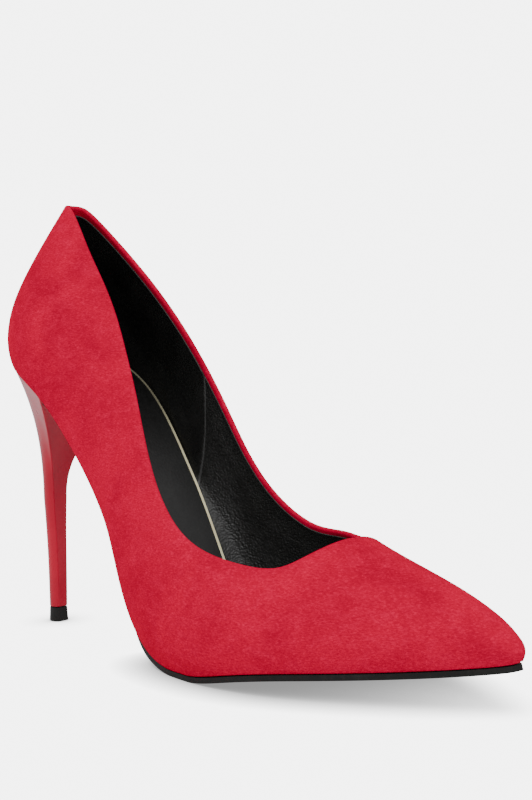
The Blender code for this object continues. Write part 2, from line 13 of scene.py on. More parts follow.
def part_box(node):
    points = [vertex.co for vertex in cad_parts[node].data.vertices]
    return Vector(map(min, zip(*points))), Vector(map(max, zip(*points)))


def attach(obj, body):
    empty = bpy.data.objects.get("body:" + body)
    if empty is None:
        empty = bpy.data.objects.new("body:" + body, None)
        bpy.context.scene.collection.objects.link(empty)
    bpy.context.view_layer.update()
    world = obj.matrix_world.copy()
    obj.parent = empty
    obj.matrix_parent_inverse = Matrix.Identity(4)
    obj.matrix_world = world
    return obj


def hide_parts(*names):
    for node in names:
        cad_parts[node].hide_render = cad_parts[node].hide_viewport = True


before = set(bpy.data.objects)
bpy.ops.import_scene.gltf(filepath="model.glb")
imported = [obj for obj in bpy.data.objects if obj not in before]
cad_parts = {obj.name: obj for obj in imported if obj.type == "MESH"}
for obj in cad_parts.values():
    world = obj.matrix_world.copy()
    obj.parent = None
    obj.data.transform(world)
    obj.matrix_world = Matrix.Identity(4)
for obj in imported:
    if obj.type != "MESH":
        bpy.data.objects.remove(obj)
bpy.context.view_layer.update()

MM = 0.001

# ---- the last and the opening, as in the CAD part ----
LENGTH = 222.0
PLAN_X = [0, 12, 35, 60, 80, 105, 130, 150, 175, 200, 214, LENGTH]
OUTER_HALF_WIDTH = [0, 21, 26, 22.8, 25.5, 33, 37, 36, 28, 16, 7.8, 0]
INNER_HALF_WIDTH = [0, 20.5, 25.8, 21, 17, 21, 31, 35, 30, 17.6, 8.2, 0]
BOTTOM_X = [0, 20, 40, 60, 80, 90, 100, 112, 120, 128, 150, 175, 200, LENGTH]
BOTTOM_Z = [106, 100, 86.5, 63, 33.6, 16.2, 7.4, 3.3, 2.3, 2.05, 5.4, 9.2, 12, 15]
TREAD_Z = 2.3
BALL_SKEW = 0.3
BALL_SKEW_X = [25.0, 85.0, 150.0, 210.0]
RIDGE_STATIONS = [0, 30, 60, 90, 120, 150, 180, 205, LENGTH]
RIDGE_X = [30.7, 38.9, 63.2, 91.7, 120.5, 150.9, 180.7, 203.4, 212.7]
RIDGE_Z = [176.7, 168, 150.9, 117.9, 83, 53, 38.9, 29.4, 24.5]
WALL_OUT = [7.6, 7.8, 8.8, 12.3, 11.5, 10.1, 6.7, 4.7, 3.6]
WALL_UP = [23.3, 18.5, 23.4, 21.5, 19.5, 17.3, 14.9, 10.9, 6.7]
CROWN_OUT = [18, 16.6, 19.4, 27.9, 26.9, 24.9, 17.7, 12.5, 2.1]
CROWN_DOWN = [30.2, 27.2, 24.4, 9.8, 3.6, 3.1, 2.6, 3, 1.5]
TOPLINE_X = [18, 24.5, 28, 33, 45, 70, 95, 115, 130, 141, 150, 156.5]
TOPLINE_Z = [165.9, 166.4, 165, 160.6, 147.2, 114.3, 69.6, 48.3, 42.2, 40.1, 39.3, 41]
THROAT_X = 162.0
INNER_RISE = 3.2
INNER_RISE_X = [119.0, 142.0, 149.0, 161.0]
STATION_PACE = 300.0

# ---- layers ----
RIM_RADIUS = 1.0
SUEDE_THICK = 0.7
BAND_WIDTH = 3.6
SEAM_GROOVE_DEPTH = 0.22
SEAM_GROOVE_WIDTH = 0.35
SEAM_END_SHARE = 0.05
SLOW_WAVE = 0.07
QUICK_WAVE = 0.025
LINING_DROP = 1.75
LINING_HEEL_DROP = 1.2
LINING_HEEL_DROP_X = [50.0, 110.0]
TAPE_DROP = 1.5
TAPE_WIDTH = 5.3
TAPE_DEPTH = 0.82
TAPE_THICK = 0.34
TAPE_END_X = 138.0
LINING_RIM_DEPTH = 2.55
LINING_DEPTH = 3.35
LINING_THICK = 0.4
LINING_EASE = 14.0
LINING_JOINT_X = 72.0
LINING_JOINT_LAP = 0.12
REAR_LAP_SHARE = 0.006
FRONT_LAP_SHARE = 0.012
CREASE_HEIGHT = 0.20
CREASE_SPOT = (54.0, 88.0)
CREASE_REACH = (13.0, 15.0)
FLANGE_INSET = 5.4
FLANGE_WIDTH = 3.2
FLANGE_RISE = 4.15
MARGIN_SHARE = 0.62
MARGIN_HEEL_X = 12.0
MARGIN_TOE_X = 18.0
OUTSOLE_BOTTOM = -2.3
OUTSOLE_THICK = 1.85
OUTSOLE_INSET = 0.4
WAIST_INSET = 2.2
WAIST_X = [30.0, 38.0, 72.0, 96.0]
FOAM_RISE = 4.25
FOAM_TOP_RISE = 5.5
FOAM_INSET = 3.0
FOAM_DRIFT = 3.0
FOAM_DRIFT_X = [70.0, 100.0, 118.0, 143.0]
LIP_WIDTH = 0.7
LIP_RISE = 6.55
SOCK_GAP = 0.03
SOCK_RISE = 5.53
SOCK_EDGE_RISE = 6.3
SOCK_ROLL = 0.35
SOCK_ROLL_WIDTH = 0.45
SOCK_CROWN = 0.5
SOCK_CROWN_REACH = 13.0
SOCK_END_X = 200.0
SOLE_BEVEL = 0.3

# ---- heel ----
GAP = 0.3
BREAST_X = 34.0
SEAT_INSET = 0.4
STEM_Z = [6, 25, 41, 50]
STEM_BACK = [6.1, 5.8, 5.2, 4.6]
STEM_FRONT = [12.7, 12.9, 12.7, 12.7]
STEM_HALF_WIDTH = [3.3, 3.5, 4.0, 4.4]
STEM_BREAST = [2.1, 2.3, 2.8, 3.3]
STEM_TOP_Z = 50.0
SEAT_FLARE = 2.2
BREAST_HOLLOW = 1.2
TIP_HEIGHT = 5.7
HEEL_BASE_Z = TIP_HEIGHT + GAP
TIP_FLARE = 0.25
STEM_AXIS_X = 9.4
HEEL_BEVEL = 0.35
TIP_BEVEL = 0.25
HEEL_BEVEL_ANGLE = 32

# ---- colours, light and camera ----
RED = (0.74, 0.003, 0.050)
RED_DEEP = (0.52, 0.002, 0.034)
RED_LIGHT = (0.95, 0.008, 0.085)
RED_SHADE = (0.34, 0.002, 0.020)
SHEEN_RED = (1.0, 0.02, 0.06)
LACQUER = (0.60, 0.004, 0.034)
BLACK = (0.010, 0.010, 0.0095)
SOCK_BLACK = tuple(0.6 * tone for tone in BLACK)
SOLE_BLACK = (0.007, 0.007, 0.0065)
CREAM = (0.95, 0.84, 0.54)
# Painted shade on the foam: the dim cream it turns towards the heel end, and where that starts and ends along
# x in metres
CREAM_PAINTED_SHADE = (0.10, 0.095, 0.06)
FOAM_SHADE_X = (-0.062, -0.035)
KNIT_GREY = (0.06, 0.06, 0.057)
KNIT_DARK = (0.03, 0.03, 0.029)
KNIT_LIGHT = (0.10, 0.10, 0.094)
COTTON = (0.8, 0.78, 0.72)
COTTON_THREAD = 420
FLOOR_COLOUR = (0.80, 0.80, 0.80)
BACKDROP_SHOWN = 5.7
BACKDROP_GLOW = 0.85
# Painted contact shadow on the floor as the camera sees it: its reach in metres, its steepness and the share
# of the glow left at its darkest
CONTACT_SHADOW_REACH = 0.014
CONTACT_SHADOW_POWER = 2.2
CONTACT_SHADOW_SHARE = 0.06
WORLD_GLOW = 0.85
GLOW_START = 0.2
GLOW_FULL = 0.9
FLOOR_PROFILE = [(0.5, 0), (1.2, 0), (2.6, 0), (3.3, 0.08), (3.9, 0.35), (4.4, 0.9), (4.6, 1.6), (4.6, 3.0)]
LIGHT_AIM = (0, 0, 0.07)
KEY_SPOT = (0.75, -1.1, 1.9)
KEY_SIZE = (1.3, 1.3)
KEY_POWER = 22.0
REAR_SPOT = (-1.5, 0.5, 1.3)
REAR_SIZE = (1.0, 1.6)
REAR_POWER = 6.0
CAMERA_SPOT = (400.25, -307.39, 102.74)
CAMERA_AZIMUTH = 41.85
CAMERA_ELEVATION = 1.77
CAMERA_ROLL = -1.12
CAMERA_LENS = 54.6
CAMERA_SENSOR = 36
CAMERA_CLIP = 0.01

TUBE_LOW, TUBE_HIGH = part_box("heel_tube")
ORIGIN = Vector(((TUBE_LOW.x + TUBE_HIGH.x) / 2 - STEM_AXIS_X * MM, (TUBE_LOW.y + TUBE_HIGH.y) / 2, 0))


# ---- curves ----
def station_share(x):
    """Share along the shoe, 0 at the heel and 1 at the toe, packed closer at both round ends."""
    return np.arccos(1 - 2 * np.clip(np.asarray(x, float) / LENGTH, 0, 1)) / math.pi


def station_x(share):
    return LENGTH * (1 - np.cos(math.pi * np.asarray(share, float))) / 2


def spline(knots, values, level_ends=False):
    """Cubic through the values, with free ends, or ends where it runs level."""
    knots = np.array(knots, float)
    values = np.array(values, float)
    count = len(knots)
    step = np.diff(knots)
    system = np.eye(count)
    right = np.zeros(count)
    for i in range(1, count - 1):
        system[i, i - 1:i + 2] = step[i - 1], 2 * (step[i - 1] + step[i]), step[i]
        right[i] = 6 * ((values[i + 1] - values[i]) / step[i] - (values[i] - values[i - 1]) / step[i - 1])
    if level_ends:
        system[0, :2] = 2 * step[0], step[0]
        right[0] = 6 * (values[1] - values[0]) / step[0]
        system[-1, -2:] = step[-1], 2 * step[-1]
        right[-1] = -6 * (values[-1] - values[-2]) / step[-1]
    bend = np.linalg.solve(system, right)

    def curve(t):
        t = np.clip(np.asarray(t, float), knots[0], knots[-1])
        i = np.clip(np.searchsorted(knots, t) - 1, 0, count - 2)
        before = (knots[i + 1] - t) / step[i]
        after = (t - knots[i]) / step[i]
        sag = (before ** 3 - before) * bend[i] + (after ** 3 - after) * bend[i + 1]
        return before * values[i] + after * values[i + 1] + sag * step[i] ** 2 / 6

    return curve


def profile(stations, values, level_ends=False):
    return spline(station_share(stations), values, level_ends)


HALF_WIDTH = {-1: profile(PLAN_X, OUTER_HALF_WIDTH), 1: profile(PLAN_X, INNER_HALF_WIDTH)}
BOTTOM = profile(BOTTOM_X, BOTTOM_Z)
RIDGE = [profile(RIDGE_STATIONS, values, True) for values in (RIDGE_X, RIDGE_Z)]
WALL = [profile(RIDGE_STATIONS, values, True) for values in (WALL_OUT, WALL_UP)]
CROWN = [profile(RIDGE_STATIONS, values, True) for values in (CROWN_OUT, CROWN_DOWN)]


def smooth_step(t):
    t = np.clip(t, 0, 1)
    return t * t * (3 - 2 * t)


def swell(x, places):
    """Rises from 0 to 1 between the first two places along the shoe and falls back between the last two."""
    start, full, fade, end = places
    return smooth_step((x - start) / (full - start)) * (1 - smooth_step((x - fade) / (end - fade)))


def bottom_z(x, y):
    """Height of the feather surface. The ball line is skewed, further back on the outer side."""
    skew = BALL_SKEW * swell(x, BALL_SKEW_X)
    return np.maximum(BOTTOM(station_share(x - skew * y)), TREAD_Z)


def bottom_slope(x, y):
    return (bottom_z(x + 1, y) - bottom_z(x - 1, y)) / 2


def bottom_points(x, y, rise):
    """Points at a rise square to the feather surface."""
    slope = bottom_slope(x, y)
    unit = 1 / np.hypot(1, slope)
    return np.stack([x - rise * slope * unit, y, bottom_z(x, y) + rise * unit], -1)


def plan_normal(share, side):
    step = 1e-4
    low = np.maximum(share - step, 0)
    high = np.minimum(share + step, 1)
    along = station_x(high) - station_x(low)
    across = side * (HALF_WIDTH[side](high) - HALF_WIDTH[side](low))
    size = np.hypot(along, across)
    return np.stack([-side * across / size, side * along / size, 0 * size], -1)


def outline(share, side, inset):
    """Plan points of the feather edge, moved inwards."""
    edge = np.stack([station_x(share), side * HALF_WIDTH[side](share), 0 * share], -1)
    return edge - plan_normal(share, side) * np.asarray(inset)[..., None]


def ribs(shares, side):
    """The four control points of the wall's rib at each share, from the feather edge to the ridge."""
    x = station_x(shares)
    y = side * HALF_WIDTH[side](shares)
    out = plan_normal(shares, side)
    up = np.array([0, 0, 1.0])
    foot = np.stack([x, y, bottom_z(x, y)], -1)
    ridge = np.stack([RIDGE[0](shares), 0 * x, RIDGE[1](shares)], -1)
    low = foot + out * WALL[0](shares)[:, None] + up * WALL[1](shares)[:, None]
    high = ridge + out * CROWN[0](shares)[:, None] - up * CROWN[1](shares)[:, None]
    return foot, low, high, ridge


def wall(shares, side, heights):
    """Outside of the upper at heights[i, j] on the rib at shares[i]. 0 is the feather edge, 1 the ridge."""
    foot, low, high, ridge = (part[:, None, :] for part in ribs(shares, side))
    t = heights[..., None]
    rest = 1 - t
    return foot * rest ** 3 + low * 3 * rest * rest * t + high * 3 * rest * t * t + ridge * t ** 3


def wall_layer(shares, side, heights, depth):
    """Points of the wall at a depth under its outside, and its outward normals."""
    step = 0.002
    points = wall(shares, side, heights)
    along = (wall(np.minimum(shares + step, 1), side, heights)
             - wall(np.maximum(shares - step, 0), side, heights))
    rise = (wall(shares, side, np.minimum(heights + step, 1))
            - wall(shares, side, np.maximum(heights - step, 0)))
    normals = np.cross(along, rise) * -side
    middle = (heights > 1 - 1e-6) | (shares[:, None] < 1e-6) | (shares[:, None] > 1 - 1e-6)
    points[middle, 1] = 0
    normals[middle, 1] = 0
    normals /= np.linalg.norm(normals, axis=-1, keepdims=True)
    points = points - normals * np.asarray(depth)[..., None]
    stray = points[..., 1] * side < 0
    points[stray, 1] = 0
    return points, normals


# ---- opening ----
THROAT_SHARE = next(s / 2000 for s in range(2000) if RIDGE[0](s / 2000) > THROAT_X)
OPENING = spline(TOPLINE_X + [THROAT_X], TOPLINE_Z + [float(RIDGE[1](THROAT_SHARE))])


def opening_z(x, side):
    """Height of the topline, which stands a little higher on the inner side before the throat."""
    return OPENING(x) + (INNER_RISE * swell(x, INNER_RISE_X) if side > 0 else 0)


def opening_heights(shares, side):
    """Height share at which each rib meets the topline, or 1 from the throat on."""
    steps = 60
    levels = np.linspace(0, 1, steps + 1)
    points = wall(shares, side, np.tile(levels, (len(shares), 1)))
    above = points[..., 2] >= opening_z(points[..., 0], side)
    above[:, 0] = False
    first = np.argmax(above, axis=1)
    low = np.where(above.any(axis=1), levels[np.maximum(first - 1, 0)], 0)
    high = np.where(above.any(axis=1), levels[first], 1)
    for _ in range(24):
        middle = (low + high) / 2
        point = wall(shares, side, middle[:, None])[:, 0]
        over = point[:, 2] >= opening_z(point[:, 0], side)
        high = np.where(over, middle, high)
        low = np.where(over, low, middle)
    return np.where(shares >= THROAT_SHARE, 1.0, high)


def rib_lengths(shares, side):
    points = wall(shares, side, np.tile(np.linspace(0, 1, 13), (len(shares), 1)))
    return np.linalg.norm(np.diff(points, axis=1), axis=-1).sum(axis=1)


def dropped_heights(shares, side, drop):
    """Height share of an edge that runs a drop below the topline and round the throat."""
    ahead = np.maximum(shares - THROAT_SHARE, 0) * STATION_PACE
    down = np.sqrt(np.maximum(drop * drop - ahead * ahead, 0))
    return opening_heights(shares, side) - down / rib_lengths(shares, side)


def heights_at_rise(shares, side, rise):
    """Height share at which each rib is a rise above the feather surface."""
    x = station_x(shares)
    y = side * HALF_WIDTH[side](shares)
    target = bottom_z(x, y) + rise * np.hypot(1, bottom_slope(x, y))
    low = np.zeros(len(shares))
    high = np.full(len(shares), 0.5)
    for _ in range(24):
        middle = (low + high) / 2
        over = wall(shares, side, middle[:, None])[:, 0, 2] >= target
        high = np.where(over, middle, high)
        low = np.where(over, low, middle)
    return high


def wall_shares(count_open, count_toe, drop):
    """Columns of a wall layer: close at the back seam, and where an edge a drop down turns the throat."""
    seam = [0, 0.0012, 0.0026, 0.0045, 0.007, 0.011]
    opening = [THROAT_SHARE * (1 - (1 - i / count_open) ** 1.5) for i in range(1, count_open + 1)]
    turn = drop / STATION_PACE
    corner = [THROAT_SHARE + turn * math.sin(math.pi / 2 * i / 8) for i in range(1, 9)]
    start = corner[-1]
    toe = [start + (1 - start) * (i / count_toe) ** 1.1 for i in range(1, count_toe + 1)]
    return np.array(seam + [s for s in opening if s > 0.014] + corner + toe)


# ---- building ----
def mesh_object(name, points, faces, look):
    """Smooth object in the frame from points in the shoe's millimetres, with equal points joined."""
    mesh = bpy.data.meshes.new(name)
    mesh.from_pydata([Vector(p) * MM + ORIGIN for p in points], [], faces)
    body = bmesh.new()
    body.from_mesh(mesh)
    bmesh.ops.remove_doubles(body, verts=body.verts, dist=2e-6)
    bmesh.ops.dissolve_degenerate(body, edges=body.edges, dist=1e-6)
    body.to_mesh(mesh)
    body.free()
    mesh.polygons.foreach_set("use_smooth", [True] * len(mesh.polygons))
    item = bpy.data.objects.new(name, mesh)
    mesh.materials.append(look)
    bpy.context.scene.collection.objects.link(item)
    return item


def grid_faces(rows, columns, base=0, flip=False):
    faces = []
    for i in range(rows - 1):
        for j in range(columns - 1):
            corner = base + i * columns + j
            quad = (corner, corner + columns, corner + columns + 1, corner + 1)
            faces.append(quad[::-1] if flip else quad)
    return faces


def solidify(item, thickness, rim_offset=0):
    """Thickness on the side away from the faces' fronts."""
    shell = item.modifiers.new("thickness", "SOLIDIFY")
    shell.thickness = thickness * MM
    shell.offset = -1
    shell.material_offset_rim = rim_offset


def bevel(item, width, angle=40):
    edge = item.modifiers.new("edges", "BEVEL")
    edge.width = width * MM
    edge.segments = 3
    edge.limit_method = "ANGLE"
    edge.angle_limit = math.radians(angle)


def level_rows(low, high, rows):
    """Heights from low to high on each rib."""
    share = np.linspace(0, 1, rows + 1)
    return low[:, None] + (high - low)[:, None] * share


# ---- upper ----
def margin_strip(shares, side):
    """Lasting margin that turns under the shoe, from its inner edge to the feather edge."""
    edge = outline(shares, side, 0 * shares)
    inner_x = MARGIN_HEEL_X + (LENGTH - MARGIN_HEEL_X - MARGIN_TOE_X) * station_x(shares) / LENGTH
    inner_y = edge[:, 1] * MARGIN_SHARE
    strip = []
    for reach in (0, 0.35, 0.7, 0.92):
        x = inner_x + (edge[:, 0] - inner_x) * reach
        y = inner_y + (edge[:, 1] - inner_y) * reach
        strip.append(np.stack([x, y, bottom_z(x, y)], -1))
    return np.stack(strip, 1)


def suede_surface(shares, side, rows):
    """Outside of one half of the upper, and its edge and normals along the opening."""
    top = dropped_heights(shares, side, RIM_RADIUS)
    heights = level_rows(0 * top, top, rows)
    points, normals = wall_layer(shares, side, heights, np.zeros_like(heights))
    centre = np.abs(points[..., 1])
    seam = np.exp(-(centre / SEAM_GROOVE_WIDTH) ** 2) * (shares[:, None] < SEAM_END_SHARE)
    points = points - normals * (SEAM_GROOVE_DEPTH * seam)[..., None]
    ease = np.sin(math.pi * np.clip((heights - 0.02) / 0.9, 0, 1))
    points = points + normals * (soft_waves(points) * ease)[..., None]
    return np.concatenate([margin_strip(shares, side), points], 1), points[:, -1], normals[:, -1]


def soft_waves(points):
    """Slight unevenness of stretched suede, in millimetres, the same at any resolution."""
    x, y, z = points[..., 0], points[..., 1], points[..., 2]
    slow = np.sin(x / 11 + z / 17 + 0.6) * np.sin(z / 9 - x / 23 + y / 19)
    quick = np.sin(x / 4.3 - z / 6.1 + y / 7) * np.sin(z / 3.7 + x / 8.9)
    return SLOW_WAVE * slow + QUICK_WAVE * quick


def rim_loop(shares):
    """Closed loop of points and normals along the opening, from the heel round the outer side first."""
    count = int(np.searchsorted(shares, THROAT_SHARE + RIM_RADIUS / STATION_PACE - 1e-9)) + 1
    outer = suede_surface(shares, -1, 4)
    inner = suede_surface(shares, 1, 4)
    points = np.concatenate([outer[1][:count], inner[1][1:count - 1][::-1]])
    normals = np.concatenate([outer[2][:count], inner[2][1:count - 1][::-1]])
    return points, normals


def rim_strip(points, normals):
    """Rolled topline: over the edge and down the inside, as rows of the section for each point."""
    tangent = np.roll(points, -1, axis=0) - np.roll(points, 1, axis=0)
    tangent[0, 0] = tangent[0, 2] = 0
    tangent /= np.linalg.norm(tangent, axis=1, keepdims=True)
    down = np.cross(tangent, normals)
    down /= np.linalg.norm(down, axis=1, keepdims=True)
    rows = []
    for step in range(9):
        angle = math.pi * step / 8
        rows.append(points - normals * RIM_RADIUS * (1 - math.cos(angle))
                    - down * RIM_RADIUS * math.sin(angle))
    for reach in (0.25, 0.5, 0.75, 1):
        rows.append(points - normals * RIM_RADIUS * 2 + down * BAND_WIDTH * reach)
    return np.stack(rows, 1)


def build_upper(look):
    rows = 64
    shares = wall_shares(170, 90, RIM_RADIUS)
    points = []
    faces = []
    for side in (-1, 1):
        sheet = suede_surface(shares, side, rows)[0]
        faces += grid_faces(sheet.shape[0], sheet.shape[1], len(points), side > 0)
        points += list(sheet.reshape(-1, 3))
    strip = rim_strip(*rim_loop(shares))
    count, size = strip.shape[:2]
    base = len(points)
    points += list(strip.reshape(-1, 3))
    for i in range(count):
        ahead = (i + 1) % count
        for j in range(size - 1):
            faces.append((base + i * size + j, base + ahead * size + j,
                          base + ahead * size + j + 1, base + i * size + j + 1))
    item = mesh_object("suede_upper", points, faces, look)
    solidify(item, SUEDE_THICK)
    return item


# ---- lining ----
def lining_rows(shares, side, rows):
    """Heights of the lining from the floor to its cut edge, closer near the edge, and their depths."""
    floor = heights_at_rise(shares, side, FLANGE_RISE + 0.5)
    start, end = LINING_HEEL_DROP_X
    fall = LINING_DROP + LINING_HEEL_DROP * (1 - smooth_step((station_x(shares) - start) / (end - start)))
    top = dropped_heights(shares, side, fall)
    share = 1 - (1 - np.linspace(0, 1, rows + 1)) ** 1.3
    heights = floor[:, None] + (top - floor)[:, None] * share
    down = (opening_heights(shares, side)[:, None] - heights) * rib_lengths(shares, side)[:, None]
    near = 1 - smooth_step((down - fall[:, None]) / LINING_EASE)
    near = np.where(shares[:, None] > THROAT_SHARE + 0.05, 0, near)
    depth = LINING_DEPTH + (LINING_RIM_DEPTH - LINING_DEPTH) * near
    return heights, depth


def wrinkles(points, strength):
    """Fine upright creases of a glued lining, gathered in a patch beside the heel, in millimetres."""
    x, z = points[..., 0], points[..., 2]
    along = x * 0.8 + z * 0.55
    bend = 3 * np.sin(z / 13 + x / 29)
    crease = np.sin((along + bend) * 1.15) + 0.6 * np.sin((along - bend) * 2.1 + 1.3)
    patch = np.exp(-((x - CREASE_SPOT[0]) / CREASE_REACH[0]) ** 2
                   - ((z - CREASE_SPOT[1]) / CREASE_REACH[1]) ** 2)
    return strength * crease * patch


def flange(shares, side):
    """Foot of the lining, turned in flat under the foam."""
    rows = []
    for inset in np.linspace(FLANGE_INSET, FLANGE_INSET - FLANGE_WIDTH, 5):
        edge = outline(shares, side, inset)
        y = np.maximum(edge[:, 1] * side, 0) * side
        rows.append(bottom_points(edge[:, 0], y, FLANGE_RISE))
    return np.stack(rows, 1)


def build_lining(name, start, end, lift, crease, look, edge_look):
    rows = 44
    every = wall_shares(110, 60, LINING_DROP)
    inside = every[(every > start + 0.002) & (every < end - 0.002)]
    shares = np.concatenate([[start], inside, [end]])
    points = []
    faces = []
    for side in (-1, 1):
        heights, depth = lining_rows(shares, side, rows)
        sheet, normals = wall_layer(shares, side, heights, depth + lift)
        low = smooth_step((depth - LINING_RIM_DEPTH) / 0.6)
        sheet = sheet - normals * (wrinkles(sheet, crease) * low)[..., None]
        sheet = np.concatenate([flange(shares, side), sheet], 1)
        faces += grid_faces(sheet.shape[0], sheet.shape[1], len(points), side < 0)
        points += list(sheet.reshape(-1, 3))
    item = mesh_object(name, points, faces, look)
    for rim_look in (edge_look, look, look):
        item.data.materials.append(rim_look)
    mark_joint_faces(item, len(shares) - 1, 0 if start > 0 else len(shares) - 2)
    solidify(item, LINING_THICK, 1)
    return item


def mark_joint_faces(item, columns, joint_column):
    """Gives the rim beside marked faces the lining's own look. Faces are counted in their building order, so
    the front lining, which loses thin faces at the toe, keeps its grey cut edge at the inner side's joint."""
    faces = item.data.polygons
    rows = len(faces) // (2 * columns)
    for index, face in enumerate(faces):
        if (index // rows) % columns == joint_column:
            face.material_index = 2


# ---- bottom ----
def far_from(points, edge):
    """Distance in plan from each point to a closed edge."""
    start = edge
    step = np.roll(edge, -1, axis=0) - edge
    length = np.maximum((step ** 2).sum(-1), 1e-12)
    nearest = []
    for row in points:
        away = row[:, None] - start
        along = np.clip((away * step).sum(-1) / length, 0, 1)
        nearest.append(np.linalg.norm(away - along[..., None] * step, axis=-1).min(axis=1))
    return np.array(nearest)


def slab(name, inset, low, top, look):
    """Closed sheet of the inside bottom. inset(x, side) gives its edge, top its rise away from the edge."""
    across = 52
    shares = np.linspace(0, 1, 181) ** 1.15 * float(station_share(SOCK_END_X))
    left, right = (outline(shares, side, inset(station_x(shares), side))[:, :2] for side in (-1, 1))
    share = ((1 - np.cos(math.pi * np.linspace(0, 1, across + 1))) / 2)[:, None]
    spots = left[:, None] + (right - left)[:, None] * share
    edge = np.concatenate([left, right[::-1]])
    upper = bottom_points(spots[..., 0], spots[..., 1], top(far_from(spots, edge)))
    lower = bottom_points(spots[..., 0], spots[..., 1], low)
    points = list(upper.reshape(-1, 3)) + list(lower.reshape(-1, 3))
    rows, columns = upper.shape[:2]
    half = rows * columns
    faces = grid_faces(rows, columns) + grid_faces(rows, columns, half, True)
    loop = [i * columns for i in range(rows)]
    loop += [(rows - 1) * columns + j for j in range(1, columns)]
    loop += [i * columns + columns - 1 for i in range(rows - 2, -1, -1)]
    loop += [j for j in range(columns - 2, 0, -1)]
    for spot, ahead in zip(loop, loop[1:] + loop[:1]):
        faces.append((spot, spot + half, ahead + half, ahead))
    return mesh_object(name, points, faces, look)


def pad_inset(x, side):
    """Inset of the foam's edge; on the inner side it comes away from the lining behind the ball."""
    return FOAM_INSET + (FOAM_DRIFT * swell(x, FOAM_DRIFT_X) if side > 0 else 0 * x)


def foam_top(distance):
    """Flat under the sock, with a rounded lip that stands round its edge."""
    lip = np.clip(1 - np.abs(distance / LIP_WIDTH * 2 - 1) ** 3, 0, 1)
    lip = np.where(distance > LIP_WIDTH, 0, lip ** 0.5)
    return FOAM_TOP_RISE + (LIP_RISE - FOAM_TOP_RISE) * lip


def sock_top(distance):
    """Rolled edge and a slightly crowned middle."""
    roll = SOCK_ROLL * (1 - np.clip(distance / SOCK_ROLL_WIDTH, 0, 1)) ** 2
    crown = SOCK_CROWN * (1 - (1 - np.clip(distance / SOCK_CROWN_REACH, 0, 1)) ** 2)
    return SOCK_EDGE_RISE - roll + crown


def sock_inset(x, side):
    return pad_inset(x, side) + LIP_WIDTH + SOCK_GAP


def build_outsole(look):
    across = 40
    shares = np.linspace(float(station_share(BREAST_X + BREAST_HOLLOW)), 1, 260)
    inset = OUTSOLE_INSET + WAIST_INSET * swell(station_x(shares), WAIST_X)
    left, right = (outline(shares, side, inset) for side in (-1, 1))
    share = np.linspace(0, 1, across + 1)[:, None]
    spots = left[:, None] + (right - left)[:, None] * share
    points = bottom_points(spots[..., 0], spots[..., 1], OUTSOLE_BOTTOM + OUTSOLE_THICK)
    item = mesh_object("sole", list(points.reshape(-1, 3)), grid_faces(len(shares), across + 1), look)
    solidify(item, OUTSOLE_THICK)
    bevel(item, SOLE_BEVEL)
    return item


# ---- heel ----
STEM = [spline(STEM_Z, values) for values in (STEM_BACK, STEM_FRONT, STEM_HALF_WIDTH, STEM_BREAST)]


def stem_point(z, turn, grow=0.0):
    """Point of the stem's D section: turn -1 and 1 are the breast's corners and 0 is the back."""
    back, front, half, breast = (float(curve(z)) for curve in STEM)
    back, front, half, breast = back - grow, front + grow, half + grow, breast + grow
    start = math.asin(breast / half)
    radius = (front - back) / (1 + math.cos(start))
    angle = start + (math.pi - start) * (1 - abs(turn))
    return Vector((back + radius + radius * math.cos(angle), math.copysign(half * math.sin(angle), turn), z))


def heel_point(level, turn):
    """Side of the heel: level up to 0 is the stem and 1 is the seat."""
    stem_z = STEM_TOP_Z if level >= 0 else STEM_TOP_Z + (STEM_TOP_Z - HEEL_BASE_Z) * level
    stem = stem_point(stem_z, turn)
    if level <= 0:
        return stem
    side = -1 if turn < 0 else 1
    spot = outline(station_share(BREAST_X) * abs(turn), side, np.array(SEAT_INSET))
    seat = Vector(bottom_points(spot[0], spot[1], -GAP))
    flare = level ** SEAT_FLARE
    return Vector((stem.x + (seat.x - stem.x) * flare, stem.y + (seat.y - stem.y) * flare,
                   stem.z + (seat.z - stem.z) * level))


def ring_turns(around):
    turns = [-1 + 2 * i / around for i in range(around + 1)]
    return [turn if turn else 1e-6 for turn in turns]


def closed_loft(name, rings, look):
    """Body through closed rings of equal size, with capped ends."""
    size = len(rings[0])
    points = [point for ring in rings for point in ring]
    faces = []
    for i in range(len(rings) - 1):
        for j in range(size):
            ahead = (j + 1) % size
            faces.append((i * size + j, (i + 1) * size + j, (i + 1) * size + ahead, i * size + ahead))
    faces.append(tuple(range(size)))
    faces.append(tuple(range(len(points) - size, len(points)))[::-1])
    return mesh_object(name, points, faces, look)


def build_heel(look):
    around = 72
    breast_steps = 16
    levels = list(np.linspace(-1, 0, 12)) + [0.035 * i for i in range(1, 28)] + [0.97, 0.985, 1]
    rings = []
    for level in levels:
        ring = [heel_point(level, turn) for turn in ring_turns(around)]
        first, last = ring[-1], ring[0]
        for i in range(1, breast_steps):
            spot = first.lerp(last, i / breast_steps)
            spot.x -= BREAST_HOLLOW * max(level, 0) * math.sin(math.pi * i / breast_steps)
            if level == 1:
                spot = Vector(bottom_points(spot.x, spot.y, -GAP))
            ring.append(spot)
        rings.append(ring)
    item = closed_loft("lacquered_heel", rings, look)
    bevel(item, HEEL_BEVEL, HEEL_BEVEL_ANGLE)
    return item


def build_tip(look):
    sections = [(0, -0.35), (0.12, TIP_FLARE * 0.5), (0.5, TIP_FLARE), (1.6, TIP_FLARE * 0.6),
                (TIP_HEIGHT - 0.5, 0), (TIP_HEIGHT - 0.15, -0.05), (TIP_HEIGHT, -0.3)]
    rings = []
    for z, grow in sections:
        ring = []
        for turn in ring_turns(64):
            spot = stem_point(HEEL_BASE_Z, turn, grow)
            spot.z = z
            ring.append(spot)
        first, last = ring[-1], ring[0]
        ring += [first.lerp(last, i / 12) for i in range(1, 12)]
        rings.append(ring)
    item = closed_loft("top_piece", rings, look)
    bevel(item, TIP_BEVEL, HEEL_BEVEL_ANGLE)
    return item


